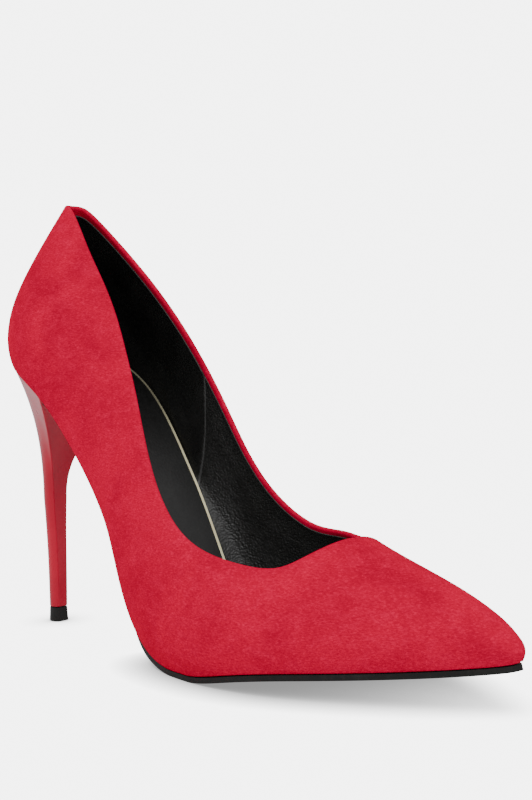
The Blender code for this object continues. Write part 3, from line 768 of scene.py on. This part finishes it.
# ---- materials ----
class Look:
    """Principled material with its texture nodes, in the frame's own coordinates."""

    def __init__(self, name, colour, roughness, metallic=0.0, **sockets):
        self.material = bpy.data.materials.new(name)
        self.material.use_nodes = True
        self.tree = self.material.node_tree
        self.shader = self.tree.nodes["Principled BSDF"]
        self.place = self.tree.nodes.new("ShaderNodeTexCoord").outputs["Object"]
        self.shader.inputs["Base Color"].default_value = (*colour, 1)
        self.shader.inputs["Roughness"].default_value = roughness
        self.shader.inputs["Metallic"].default_value = metallic
        for socket, value in sockets.items():
            self.shader.inputs[socket.replace("_", " ")].default_value = value
        self.height = None

    def node(self, kind, **settings):
        made = self.tree.nodes.new(kind)
        for key, value in settings.items():
            setattr(made, key, value)
        return made

    def link(self, source, target):
        self.tree.links.new(source, target)

    def stretched(self, x, y, z):
        mapping = self.node("ShaderNodeMapping")
        mapping.inputs["Scale"].default_value = (x, y, z)
        self.link(self.place, mapping.inputs["Vector"])
        return mapping.outputs["Vector"]

    def noise(self, scale, detail=3.0, distortion=0.0, place=None):
        made = self.node("ShaderNodeTexNoise")
        made.inputs["Scale"].default_value = scale
        made.inputs["Detail"].default_value = detail
        made.inputs["Distortion"].default_value = distortion
        self.link(place or self.place, made.inputs["Vector"])
        return made.outputs["Fac"]

    def cells(self, scale, feature="F1"):
        made = self.node("ShaderNodeTexVoronoi", feature=feature)
        made.inputs["Scale"].default_value = scale
        self.link(self.place, made.inputs["Vector"])
        return made.outputs["Distance"]

    def spread(self, value, low, high, out_low=0.0, out_high=1.0):
        """Stretches a value's range low to high onto out_low to out_high."""
        made = self.node("ShaderNodeMapRange")
        self.link(value, made.inputs["Value"])
        limits = {"From Min": low, "From Max": high, "To Min": out_low, "To Max": out_high}
        for socket, number in limits.items():
            made.inputs[socket].default_value = number
        return made.outputs["Result"]

    def maths(self, operation, first, second):
        made = self.node("ShaderNodeMath", operation=operation)
        for i, value in enumerate((first, second)):
            if isinstance(value, (int, float)):
                made.inputs[i].default_value = value
            else:
                self.link(value, made.inputs[i])
        return made.outputs["Value"]

    def blend(self, share, first, second):
        """Mix of two colours, each a colour or a socket."""
        made = self.node("ShaderNodeMix", data_type="RGBA")
        self.link(share, made.inputs["Factor"])
        for name, value in (("A", first), ("B", second)):
            socket = next(s for s in made.inputs if s.name == name and s.type == "RGBA")
            if isinstance(value, tuple):
                socket.default_value = (*value, 1)
            else:
                self.link(value, socket)
        return next(s for s in made.outputs if s.type == "RGBA")

    def colour(self, socket):
        self.link(socket, self.shader.inputs["Base Color"])

    def rough(self, value, low, high):
        self.link(self.spread(value, 0.25, 0.75, low, high), self.shader.inputs["Roughness"])

    def bump(self, height, strength, distance):
        """Adds a bump layer over those already there; distance is in millimetres."""
        made = self.node("ShaderNodeBump")
        made.inputs["Strength"].default_value = strength
        made.inputs["Distance"].default_value = distance * MM
        self.link(height, made.inputs["Height"])
        if self.height:
            self.link(self.height, made.inputs["Normal"])
        self.height = made.outputs["Normal"]
        self.link(self.height, self.shader.inputs["Normal"])


def suede_look():
    """Red faux suede: short nap that lies in soft light and dark patches, with a light edge sheen."""
    look = Look("red_suede", RED, 0.95, Sheen_Weight=0.35, Sheen_Roughness=0.4, Specular_IOR_Level=0.0)
    look.shader.inputs["Sheen Tint"].default_value = (*SHEEN_RED, 1)
    nap = look.noise(1700, 3, 0.5, look.stretched(0.65, 0.65, 1.5))
    fibre = look.noise(6500, 2)
    patch = look.noise(38, 3, 0.9)
    brushed = look.noise(240, 4, 1.2, look.stretched(0.7, 0.7, 1.3))
    light = look.blend(look.spread(patch, 0.30, 0.66), RED_DEEP, RED)
    light = look.blend(look.spread(brushed, 0.45, 0.78, 0, 0.45), light, RED_LIGHT)
    grain = look.maths("ADD", look.maths("MULTIPLY", nap, 0.7), look.maths("MULTIPLY", fibre, 0.3))
    light = look.blend(look.spread(grain, 0.36, 0.62, 0.6, 0.0), light, RED_SHADE)
    look.colour(look.blend(look.spread(grain, 0.55, 0.7, 0.0, 0.5), light, RED_LIGHT))
    look.rough(patch, 0.9, 0.98)
    look.bump(brushed, 0.15, 0.2)
    look.bump(grain, 0.6, 0.14)
    return look.material


def leather_look(name, pebble_scale, pebble, roughness, colour=BLACK):
    """Black synthetic leather with a pebbled grain over fine pores."""
    look = Look(name, colour, roughness, Specular_IOR_Level=0.5)
    cells = look.cells(pebble_scale, "SMOOTH_F1")
    pores = look.noise(3800, 2)
    scuff = look.noise(70, 4, 0.6)
    tone = look.blend(look.spread(scuff, 0.35, 0.7), colour, tuple(2.1 * c for c in colour))
    look.colour(look.blend(look.spread(cells, 0.2, 0.7, 0, 0.5), tone, tuple(0.4 * c for c in colour)))
    look.rough(look.noise(420, 3), roughness - 0.08, roughness + 0.1)
    look.bump(scuff, 0.2, 0.3)
    look.bump(cells, 0.9, -pebble)
    look.bump(pores, 0.4, 0.08)
    return look.material


def edge_look():
    """Raw cut edge of the lining: grey knit backing."""
    look = Look("lining_cut_edge", KNIT_GREY, 0.85, Specular_IOR_Level=0.2)
    fibre = look.noise(2600, 3)
    look.colour(look.blend(look.spread(fibre, 0.3, 0.7), KNIT_DARK, KNIT_LIGHT))
    look.bump(fibre, 0.5, 0.1)
    return look.material


def foam_look():
    """Cream latex foam with open cells, with painted shade dimming it towards the heel end."""
    look = Look("cream_foam", CREAM, 0.85)
    cells = look.cells(1900)
    tone = look.noise(120, 3)
    light = look.blend(look.spread(tone, 0.3, 0.7), CREAM, tuple(min(1, 1.15 * c) for c in CREAM))
    axes = look.node("ShaderNodeSeparateXYZ")
    look.link(look.place, axes.inputs["Vector"])
    # Painted shade: the foam dims towards the heel end, as if the shoe shaded it there
    heel_end_shade = look.spread(axes.outputs["X"], FOAM_SHADE_X[0], FOAM_SHADE_X[1], 0.9, 0.0)
    light = look.blend(heel_end_shade, light, CREAM_PAINTED_SHADE)
    look.colour(look.blend(look.spread(cells, 0.0, 0.5, 0.35, 0), light, tuple(0.6 * c for c in CREAM)))
    look.bump(cells, 0.6, 0.15)
    return look.material


def lacquer_look():
    """Gloss red lacquer over moulded plastic, with a faint orange peel."""
    look = Look("red_lacquer", LACQUER, 0.4, Coat_Weight=0.45, Coat_Roughness=0.07, Coat_IOR=1.4,
                Specular_IOR_Level=0.1)
    tone = look.noise(55, 3, 0.5)
    look.colour(look.blend(look.spread(tone, 0.35, 0.7), tuple(0.8 * c for c in LACQUER), LACQUER))
    look.rough(look.noise(160, 3), 0.26, 0.38)
    look.bump(look.noise(330, 2), 0.05, 0.12)
    return look.material


def rubber_look(name, colour, roughness, scale):
    """Black sole rubber: fine moulded grain, scuffed a little lighter in patches."""
    look = Look(name, colour, roughness, Specular_IOR_Level=0.22)
    grain = look.noise(scale, 3)
    scuff = look.noise(95, 5, 1.0)
    light = look.blend(look.spread(scuff, 0.45, 0.75), colour, tuple(2.2 * c + 0.006 for c in colour))
    look.colour(look.blend(look.spread(grain, 0.35, 0.7, 0, 0.5), light, tuple(0.5 * c for c in colour)))
    look.rough(scuff, roughness - 0.1, roughness + 0.14)
    look.bump(grain, 0.35, 0.08)
    return look.material


def plain_look(name, colour, dark, roughness, scale, bump=0.1, metallic=0.0):
    """Inner pieces: two tones broken up by a grain at the material's own scale."""
    look = Look(name, colour, roughness, metallic)
    grain = look.noise(scale, 4, 0.3)
    look.colour(look.blend(look.spread(grain, 0.3, 0.7), dark, colour))
    look.rough(grain, roughness - 0.1, min(roughness + 0.1, 1))
    look.bump(grain, 0.4, bump)
    return look.material


def woven_look(name, colour, thread):
    """Plain weave: crossing threads from two wave patterns."""
    look = Look(name, colour, 0.9)
    waves = []
    for direction in ("X", "Z"):
        wave = look.node("ShaderNodeTexWave", bands_direction=direction)
        wave.inputs["Scale"].default_value = thread
        wave.inputs["Distortion"].default_value = 0.6
        look.link(look.place, wave.inputs["Vector"])
        waves.append(wave.outputs["Fac"])
    weave = look.maths("MULTIPLY", waves[0], waves[1])
    look.colour(look.blend(look.spread(weave, 0.0, 0.8), tuple(0.6 * c for c in colour), colour))
    look.bump(weave, 0.6, 0.15)
    return look.material


def build_tape(look):
    """Topline tape between the suede and its turned-in edge."""
    shares = wall_shares(110, 60, LINING_DROP)
    shares = shares[shares <= float(station_share(TAPE_END_X))]
    points = []
    faces = []
    for side in (-1, 1):
        heights = level_rows(dropped_heights(shares, side, TAPE_DROP + TAPE_WIDTH),
                             dropped_heights(shares, side, TAPE_DROP), 6)
        sheet = wall_layer(shares, side, heights, np.full(heights.shape, TAPE_DEPTH))[0]
        faces += grid_faces(sheet.shape[0], sheet.shape[1], len(points), side > 0)
        points += list(sheet.reshape(-1, 3))
    item = mesh_object("topline_tape_band", points, faces, look)
    solidify(item, TAPE_THICK)
    return item


def dress_hidden_nodes():
    """Pieces inside the shoe keep their CAD shape and get their own materials."""
    steel = plain_look("brushed_steel", (0.52, 0.52, 0.54), (0.36, 0.36, 0.38), 0.35, 900, 0.03, 1.0)
    board = plain_look("cellulose_board", (0.55, 0.42, 0.28), (0.42, 0.31, 0.2), 0.9, 700)
    fibre = plain_look("hard_fibreboard", (0.35, 0.22, 0.12), (0.24, 0.15, 0.08), 0.85, 600)
    puff = plain_look("toe_puff_film", (0.75, 0.75, 0.7), (0.66, 0.66, 0.6), 0.6, 300)
    felt = plain_look("felt_filler", (0.3, 0.2, 0.12), (0.16, 0.11, 0.07), 0.95, 1500, 0.2)
    tape = woven_look("woven_interlining", COTTON, COTTON_THREAD)
    looks = {"steel_shank": steel, "shank_rivet_front": steel, "shank_rivet_rear": steel, "heel_tube": steel,
             "heel_tip_pin": steel, "heel_screw": steel, "heel_counter": board, "insole_board": board,
             "shank_board": fibre, "toe_puff": puff, "bottom_filler": felt, "interlining": tape}
    for i in range(1, 5):
        looks["heel_nail_" + str(i)] = steel
    for name, look in looks.items():
        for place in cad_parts[name].material_slots:
            place.material = look


# ---- stage ----
def build_floor():
    """Pale seamless sweep. Away from the shoe it glows evenly, so that it has no horizon."""
    around = 96
    points = []
    for radius, height in FLOOR_PROFILE:
        for i in range(around):
            angle = 2 * math.pi * i / around
            points.append((radius * math.cos(angle), radius * math.sin(angle), height))
    faces = []
    for ring in range(0, (len(FLOOR_PROFILE) - 1) * around, around):
        for i in range(around):
            ahead = (i + 1) % around
            faces.append((ring + around + i, ring + around + ahead, ring + ahead, ring + i))
    points.append((0, 0, 0))
    faces += [(len(points) - 1, i, (i + 1) % around) for i in range(around)]
    mesh = bpy.data.meshes.new("floor")
    mesh.from_pydata(points, [], faces)
    mesh.polygons.foreach_set("use_smooth", [True] * len(mesh.polygons))
    floor = bpy.data.objects.new("floor", mesh)
    bpy.context.scene.collection.objects.link(floor)
    mesh.materials.append(floor_look())


def floor_look():
    """Matt floor for the light that falls on it. To the camera it and the backdrop are one even pale tone,
    darkened only where the shoe stands close over it, by a painted contact shadow."""
    material = bpy.data.materials.new("pale_floor")
    material.use_nodes = True
    nodes = material.node_tree.nodes
    links = material.node_tree.links
    nodes.remove(nodes["Principled BSDF"])
    matt = nodes.new("ShaderNodeBsdfDiffuse")
    matt.inputs["Color"].default_value = (*FLOOR_COLOUR, 1)
    glow = nodes.new("ShaderNodeEmission")
    glow.inputs["Strength"].default_value = BACKDROP_GLOW
    place = nodes.new("ShaderNodeTexCoord")
    length = nodes.new("ShaderNodeVectorMath")
    length.operation = "LENGTH"
    links.new(place.outputs["Object"], length.inputs[0])
    far = nodes.new("ShaderNodeMapRange")
    far.interpolation_type = "SMOOTHSTEP"
    far.inputs["From Min"].default_value = GLOW_START
    far.inputs["From Max"].default_value = GLOW_FULL
    links.new(length.outputs["Value"], far.inputs["Value"])
    lit = nodes.new("ShaderNodeMixShader")
    links.new(far.outputs["Result"], lit.inputs["Fac"])
    links.new(matt.outputs["BSDF"], lit.inputs[1])
    links.new(glow.outputs["Emission"], lit.inputs[2])
    # Painted contact shadow: to the camera the glow is dimmed by ambient occlusion under and beside the shoe
    near = nodes.new("ShaderNodeAmbientOcclusion")
    near.samples = 32
    near.inputs["Distance"].default_value = CONTACT_SHADOW_REACH
    shadow_steep = nodes.new("ShaderNodeMath")
    shadow_steep.operation = "POWER"
    links.new(near.outputs["AO"], shadow_steep.inputs[0])
    shadow_steep.inputs[1].default_value = CONTACT_SHADOW_POWER
    tone = nodes.new("ShaderNodeMapRange")
    links.new(shadow_steep.outputs["Value"], tone.inputs["Value"])
    tone.inputs["To Min"].default_value = BACKDROP_SHOWN * CONTACT_SHADOW_SHARE
    tone.inputs["To Max"].default_value = BACKDROP_SHOWN
    shown = nodes.new("ShaderNodeEmission")
    links.new(tone.outputs["Result"], shown.inputs["Strength"])
    ray = nodes.new("ShaderNodeLightPath")
    mix = nodes.new("ShaderNodeMixShader")
    links.new(ray.outputs["Is Camera Ray"], mix.inputs["Fac"])
    links.new(lit.outputs["Shader"], mix.inputs[1])
    links.new(shown.outputs["Emission"], mix.inputs[2])
    links.new(mix.outputs["Shader"], nodes["Material Output"].inputs["Surface"])
    return material


def shoe_place(x, y, z):
    return Vector((x, y, z)) * MM + ORIGIN


def area_light(name, spot, size, power):
    data = bpy.data.lights.new(name, "AREA")
    data.shape = "RECTANGLE"
    data.size, data.size_y = size
    data.energy = power
    light = bpy.data.objects.new(name, data)
    light.location = spot
    light.rotation_mode = "QUATERNION"
    light.rotation_quaternion = (Vector(LIGHT_AIM) - Vector(spot)).to_track_quat("-Z", "Y")
    bpy.context.scene.collection.objects.link(light)


def build_lights():
    world = bpy.data.worlds.new("studio")
    world.use_nodes = True
    bpy.context.scene.world = world
    sky = world.node_tree.nodes["Background"]
    sky.inputs["Color"].default_value = (1, 1, 1, 1)
    sky.inputs["Strength"].default_value = WORLD_GLOW
    area_light("key", KEY_SPOT, KEY_SIZE, KEY_POWER)
    area_light("rear", REAR_SPOT, REAR_SIZE, REAR_POWER)


def build_camera():
    """Camera low and near, outside the toe, as for a catalogue picture."""
    turn, lift, roll = (math.radians(angle) for angle in (CAMERA_AZIMUTH, CAMERA_ELEVATION, CAMERA_ROLL))
    back = Vector((math.sin(turn) * math.cos(lift), -math.cos(turn) * math.cos(lift), math.sin(lift)))
    right = Vector((math.cos(turn), math.sin(turn), 0))
    up = back.cross(right)
    turned_right = right * math.cos(roll) + up * math.sin(roll)
    turned_up = up * math.cos(roll) - right * math.sin(roll)
    data = bpy.data.cameras.new("camera")
    data.lens = CAMERA_LENS
    data.sensor_width = CAMERA_SENSOR
    data.clip_start = CAMERA_CLIP
    camera = bpy.data.objects.new("camera", data)
    axes = Matrix((turned_right, turned_up, back)).transposed()
    camera.matrix_world = Matrix.Translation(shoe_place(*CAMERA_SPOT)) @ axes.to_4x4()
    bpy.context.scene.collection.objects.link(camera)
    bpy.context.scene.camera = camera


# ---- assembly ----
def seat(item, slot, *nodes):
    """The piece rides on the shoe's one body and stands for its CAD nodes."""
    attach(item, "root")
    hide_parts(*nodes)


def main():
    seat(build_upper(suede_look()), "suede", "upper")
    smooth = leather_look("smooth_black_lining", pebble_scale=1500, pebble=0.10, roughness=0.33)
    pebbled = leather_look("pebbled_black_lining", pebble_scale=1400, pebble=0.30, roughness=0.44)
    cut = edge_look()
    joint = float(station_share(LINING_JOINT_X))
    rear = build_lining("rear_lining", 0.0, joint + REAR_LAP_SHARE, 0.0, CREASE_HEIGHT, smooth, cut)
    front = build_lining("front_lining", joint - FRONT_LAP_SHARE, 1.0, -LINING_JOINT_LAP, 0.0, pebbled, cut)
    seat(rear, "smooth_lining", "quarter_lining")
    seat(front, "pebbled_lining", "vamp_lining")
    foam = slab("sock_foam_pad", pad_inset, FOAM_RISE, foam_top, foam_look())
    sock_look = leather_look("black_sock", pebble_scale=1300, pebble=0.08, roughness=0.44, colour=SOCK_BLACK)
    sock = slab("padded_sock", sock_inset, SOCK_RISE, sock_top, sock_look)
    seat(foam, "foam", "sock_foam")
    seat(sock, "sock", "sock")
    sole = rubber_look("black_sole", SOLE_BLACK, roughness=0.5, scale=1400)
    seat(build_outsole(sole), "sole", "outsole")
    seat(build_heel(lacquer_look()), "lacquer", "heel")
    tip = rubber_look("black_tip", SOLE_BLACK, roughness=0.4, scale=1800)
    seat(build_tip(tip), "tip", "heel_tip")
    seat(build_tape(woven_look("woven_tape", COTTON, COTTON_THREAD)), "tape", "topline_tape")
    dress_hidden_nodes()
    build_floor()
    build_lights()
    build_camera()


main()
